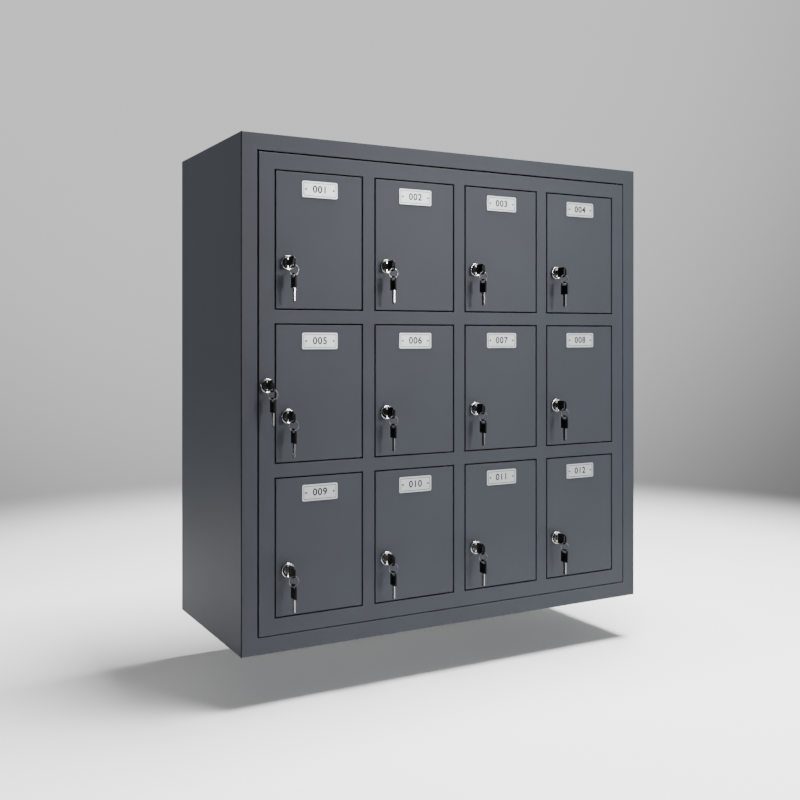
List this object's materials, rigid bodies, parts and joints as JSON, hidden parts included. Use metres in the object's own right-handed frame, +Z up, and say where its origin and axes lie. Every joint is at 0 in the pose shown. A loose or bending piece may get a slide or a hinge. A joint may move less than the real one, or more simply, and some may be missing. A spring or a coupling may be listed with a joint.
{
  "type": "locker bank",
  "caption": "Sheet-steel wall locker bank: a lockable master door carries a grid of small doors, each with a number plate, cam lock and keys.",
  "frame": {"origin": "centre of the cabinet's flat underside, midway between its front and back faces", "axes": "+X to the right seen from the front, +Y from the front to the back, +Z up"},
  "size_m": [0.76, 0.3331, 0.78],
  "materials": {
    "powder_coat": "anthracite powder coat, fine orange peel, semi-matt",
    "lock_chrome": "polished chrome plating",
    "number_plate": "fine brushed, satin",
    "key_plastic": "moulded black plastic, satin",
    "ring_steel": "bright steel wire"
  },
  "bodies": {
    "cabinet": {"left_side": "powder_coat", "right_side": "powder_coat", "top_panel": "powder_coat", "bottom_panel": "powder_coat", "back_panel": "powder_coat", "vertical_dividers": "powder_coat", "shelves": "powder_coat"},
    "master_door": {"master_door_rails": "powder_coat", "master_door_stiles": "powder_coat", "master_door_fittings": "lock_chrome"},
    "door_01": {"door_01_panel": "powder_coat", "door_01_plate_and_lock_case": "number_plate"},
    "door_02": {"door_02_panel": "powder_coat", "door_02_plate_and_lock_case": "number_plate"},
    "door_03": {"door_03_panel": "powder_coat", "door_03_plate_and_lock_case": "number_plate"},
    "door_04": {"door_04_panel": "powder_coat", "door_04_plate_and_lock_case": "number_plate"},
    "door_05": {"door_05_panel": "powder_coat", "door_05_plate_and_lock_case": "number_plate"},
    "door_06": {"door_06_panel": "powder_coat", "door_06_plate_and_lock_case": "number_plate"},
    "door_07": {"door_07_panel": "powder_coat", "door_07_plate_and_lock_case": "number_plate"},
    "door_08": {"door_08_panel": "powder_coat", "door_08_plate_and_lock_case": "number_plate"},
    "door_09": {"door_09_panel": "powder_coat", "door_09_plate_and_lock_case": "number_plate"},
    "door_10": {"door_10_panel": "powder_coat", "door_10_plate_and_lock_case": "number_plate"},
    "door_11": {"door_11_panel": "powder_coat", "door_11_plate_and_lock_case": "number_plate"},
    "door_12": {"door_12_panel": "powder_coat", "door_12_plate_and_lock_case": "number_plate"},
    "lock_01": {"lock_01_plug_cam_and_key": "key_plastic"},
    "lock_02": {"lock_02_plug_cam_and_key": "key_plastic"},
    "lock_03": {"lock_03_plug_cam_and_key": "key_plastic"},
    "lock_04": {"lock_04_plug_cam_and_key": "key_plastic"},
    "lock_05": {"lock_05_plug_cam_and_key": "key_plastic"},
    "lock_06": {"lock_06_plug_cam_and_key": "key_plastic"},
    "lock_07": {"lock_07_plug_cam_and_key": "key_plastic"},
    "lock_08": {"lock_08_plug_cam_and_key": "key_plastic"},
    "lock_09": {"lock_09_plug_cam_and_key": "key_plastic"},
    "lock_10": {"lock_10_plug_cam_and_key": "key_plastic"},
    "lock_11": {"lock_11_plug_cam_and_key": "key_plastic"},
    "lock_12": {"lock_12_plug_cam_and_key": "key_plastic"},
    "lock_master": {"lock_master_plug_cam_and_key": "key_plastic"},
    "keyring_01": {"keyring_01_with_spare_key": "ring_steel"},
    "keyring_02": {"keyring_02_with_spare_key": "ring_steel"},
    "keyring_03": {"keyring_03_with_spare_key": "ring_steel"},
    "keyring_04": {"keyring_04_with_spare_key": "ring_steel"},
    "keyring_05": {"keyring_05_with_spare_key": "ring_steel"},
    "keyring_06": {"keyring_06_with_spare_key": "ring_steel"},
    "keyring_07": {"keyring_07_with_spare_key": "ring_steel"},
    "keyring_08": {"keyring_08_with_spare_key": "ring_steel"},
    "keyring_09": {"keyring_09_with_spare_key": "ring_steel"},
    "keyring_10": {"keyring_10_with_spare_key": "ring_steel"},
    "keyring_11": {"keyring_11_with_spare_key": "ring_steel"},
    "keyring_12": {"keyring_12_with_spare_key": "ring_steel"},
    "keyring_master": {"keyring_master_with_spare_key": "ring_steel"}
  },
  "joints": [
    {"name": "master_door_hinge", "type": "hinge", "parent": "cabinet", "child": "master_door", "pos_m": [0.3413, -0.145, 0.39], "axis": [0, 0, 1], "range_deg": [0, 95]},
    {"name": "door_01_hinge", "type": "hinge", "parent": "master_door", "child": "door_01", "pos_m": [-0.18575, -0.146, 0.62167], "axis": [0, 0, 1], "range_deg": [0, 100]},
    {"name": "door_02_hinge", "type": "hinge", "parent": "master_door", "child": "door_02", "pos_m": [-0.0168, -0.146, 0.62167], "axis": [0, 0, 1], "range_deg": [0, 100]},
    {"name": "door_03_hinge", "type": "hinge", "parent": "master_door", "child": "door_03", "pos_m": [0.15215, -0.146, 0.62167], "axis": [0, 0, 1], "range_deg": [0, 100]},
    {"name": "door_04_hinge", "type": "hinge", "parent": "master_door", "child": "door_04", "pos_m": [0.3211, -0.146, 0.62167], "axis": [0, 0, 1], "range_deg": [0, 100]},
    {"name": "door_05_hinge", "type": "hinge", "parent": "master_door", "child": "door_05", "pos_m": [-0.18575, -0.146, 0.3894], "axis": [0, 0, 1], "range_deg": [0, 100]},
    {"name": "door_06_hinge", "type": "hinge", "parent": "master_door", "child": "door_06", "pos_m": [-0.0168, -0.146, 0.3894], "axis": [0, 0, 1], "range_deg": [0, 100]},
    {"name": "door_07_hinge", "type": "hinge", "parent": "master_door", "child": "door_07", "pos_m": [0.15215, -0.146, 0.3894], "axis": [0, 0, 1], "range_deg": [0, 100]},
    {"name": "door_08_hinge", "type": "hinge", "parent": "master_door", "child": "door_08", "pos_m": [0.3211, -0.146, 0.3894], "axis": [0, 0, 1], "range_deg": [0, 100]},
    {"name": "door_09_hinge", "type": "hinge", "parent": "master_door", "child": "door_09", "pos_m": [-0.18575, -0.146, 0.15713], "axis": [0, 0, 1], "range_deg": [0, 100]},
    {"name": "door_10_hinge", "type": "hinge", "parent": "master_door", "child": "door_10", "pos_m": [-0.0168, -0.146, 0.15713], "axis": [0, 0, 1], "range_deg": [0, 100]},
    {"name": "door_11_hinge", "type": "hinge", "parent": "master_door", "child": "door_11", "pos_m": [0.15215, -0.146, 0.15713], "axis": [0, 0, 1], "range_deg": [0, 100]},
    {"name": "door_12_hinge", "type": "hinge", "parent": "master_door", "child": "door_12", "pos_m": [0.3211, -0.146, 0.15713], "axis": [0, 0, 1], "range_deg": [0, 100]},
    {"name": "lock_01_turn", "type": "hinge", "parent": "door_01", "child": "lock_01", "pos_m": [-0.3061, -0.15, 0.58723], "axis": [0, 1, 0], "range_deg": [0, 90]},
    {"name": "lock_02_turn", "type": "hinge", "parent": "door_02", "child": "lock_02", "pos_m": [-0.13715, -0.15, 0.58723], "axis": [0, 1, 0], "range_deg": [0, 90]},
    {"name": "lock_03_turn", "type": "hinge", "parent": "door_03", "child": "lock_03", "pos_m": [0.0318, -0.15, 0.58723], "axis": [0, 1, 0], "range_deg": [0, 90]},
    {"name": "lock_04_turn", "type": "hinge", "parent": "door_04", "child": "lock_04", "pos_m": [0.20075, -0.15, 0.58723], "axis": [0, 1, 0], "range_deg": [0, 90]},
    {"name": "lock_05_turn", "type": "hinge", "parent": "door_05", "child": "lock_05", "pos_m": [-0.3061, -0.15, 0.35497], "axis": [0, 1, 0], "range_deg": [0, 90]},
    {"name": "lock_06_turn", "type": "hinge", "parent": "door_06", "child": "lock_06", "pos_m": [-0.13715, -0.15, 0.35497], "axis": [0, 1, 0], "range_deg": [0, 90]},
    {"name": "lock_07_turn", "type": "hinge", "parent": "door_07", "child": "lock_07", "pos_m": [0.0318, -0.15, 0.35497], "axis": [0, 1, 0], "range_deg": [0, 90]},
    {"name": "lock_08_turn", "type": "hinge", "parent": "door_08", "child": "lock_08", "pos_m": [0.20075, -0.15, 0.35497], "axis": [0, 1, 0], "range_deg": [0, 90]},
    {"name": "lock_09_turn", "type": "hinge", "parent": "door_09", "child": "lock_09", "pos_m": [-0.3061, -0.15, 0.1227], "axis": [0, 1, 0], "range_deg": [0, 90]},
    {"name": "lock_10_turn", "type": "hinge", "parent": "door_10", "child": "lock_10", "pos_m": [-0.13715, -0.15, 0.1227], "axis": [0, 1, 0], "range_deg": [0, 90]},
    {"name": "lock_11_turn", "type": "hinge", "parent": "door_11", "child": "lock_11", "pos_m": [0.0318, -0.15, 0.1227], "axis": [0, 1, 0], "range_deg": [0, 90]},
    {"name": "lock_12_turn", "type": "hinge", "parent": "door_12", "child": "lock_12", "pos_m": [0.20075, -0.15, 0.1227], "axis": [0, 1, 0], "range_deg": [0, 90]},
    {"name": "lock_master_turn", "type": "hinge", "parent": "master_door", "child": "lock_master", "pos_m": [-0.3396, -0.15, 0.402], "axis": [0, 1, 0], "range_deg": [0, 90]},
    {"name": "keyring_01_swing", "type": "hinge", "parent": "lock_01", "child": "keyring_01", "pos_m": [-0.3061, -0.1744, 0.57993], "axis": [0, 1, 0], "range_deg": [-90, 0]},
    {"name": "keyring_02_swing", "type": "hinge", "parent": "lock_02", "child": "keyring_02", "pos_m": [-0.13715, -0.1744, 0.57993], "axis": [0, 1, 0], "range_deg": [-90, 0]},
    {"name": "keyring_03_swing", "type": "hinge", "parent": "lock_03", "child": "keyring_03", "pos_m": [0.0318, -0.1744, 0.57993], "axis": [0, 1, 0], "range_deg": [-90, 0]},
    {"name": "keyring_04_swing", "type": "hinge", "parent": "lock_04", "child": "keyring_04", "pos_m": [0.20075, -0.1744, 0.57993], "axis": [0, 1, 0], "range_deg": [-90, 0]},
    {"name": "keyring_05_swing", "type": "hinge", "parent": "lock_05", "child": "keyring_05", "pos_m": [-0.3061, -0.1744, 0.34767], "axis": [0, 1, 0], "range_deg": [-90, 0]},
    {"name": "keyring_06_swing", "type": "hinge", "parent": "lock_06", "child": "keyring_06", "pos_m": [-0.13715, -0.1744, 0.34767], "axis": [0, 1, 0], "range_deg": [-90, 0]},
    {"name": "keyring_07_swing", "type": "hinge", "parent": "lock_07", "child": "keyring_07", "pos_m": [0.0318, -0.1744, 0.34767], "axis": [0, 1, 0], "range_deg": [-90, 0]},
    {"name": "keyring_08_swing", "type": "hinge", "parent": "lock_08", "child": "keyring_08", "pos_m": [0.20075, -0.1744, 0.34767], "axis": [0, 1, 0], "range_deg": [-90, 0]},
    {"name": "keyring_09_swing", "type": "hinge", "parent": "lock_09", "child": "keyring_09", "pos_m": [-0.3061, -0.1744, 0.1154], "axis": [0, 1, 0], "range_deg": [-90, 0]},
    {"name": "keyring_10_swing", "type": "hinge", "parent": "lock_10", "child": "keyring_10", "pos_m": [-0.13715, -0.1744, 0.1154], "axis": [0, 1, 0], "range_deg": [-90, 0]},
    {"name": "keyring_11_swing", "type": "hinge", "parent": "lock_11", "child": "keyring_11", "pos_m": [0.0318, -0.1744, 0.1154], "axis": [0, 1, 0], "range_deg": [-90, 0]},
    {"name": "keyring_12_swing", "type": "hinge", "parent": "lock_12", "child": "keyring_12", "pos_m": [0.20075, -0.1744, 0.1154], "axis": [0, 1, 0], "range_deg": [-90, 0]},
    {"name": "keyring_master_swing", "type": "hinge", "parent": "lock_master", "child": "keyring_master", "pos_m": [-0.3396, -0.1744, 0.3947], "axis": [0, 1, 0], "range_deg": [-90, 0]}
  ],
  "couplings": [
    {"joint": "keyring_01_swing", "follows": "lock_01_turn", "ratio": -1},
    {"joint": "keyring_02_swing", "follows": "lock_02_turn", "ratio": -1},
    {"joint": "keyring_03_swing", "follows": "lock_03_turn", "ratio": -1},
    {"joint": "keyring_04_swing", "follows": "lock_04_turn", "ratio": -1},
    {"joint": "keyring_05_swing", "follows": "lock_05_turn", "ratio": -1},
    {"joint": "keyring_06_swing", "follows": "lock_06_turn", "ratio": -1},
    {"joint": "keyring_07_swing", "follows": "lock_07_turn", "ratio": -1},
    {"joint": "keyring_08_swing", "follows": "lock_08_turn", "ratio": -1},
    {"joint": "keyring_09_swing", "follows": "lock_09_turn", "ratio": -1},
    {"joint": "keyring_10_swing", "follows": "lock_10_turn", "ratio": -1},
    {"joint": "keyring_11_swing", "follows": "lock_11_turn", "ratio": -1},
    {"joint": "keyring_12_swing", "follows": "lock_12_turn", "ratio": -1},
    {"joint": "keyring_master_swing", "follows": "lock_master_turn", "ratio": -1}
  ]
}
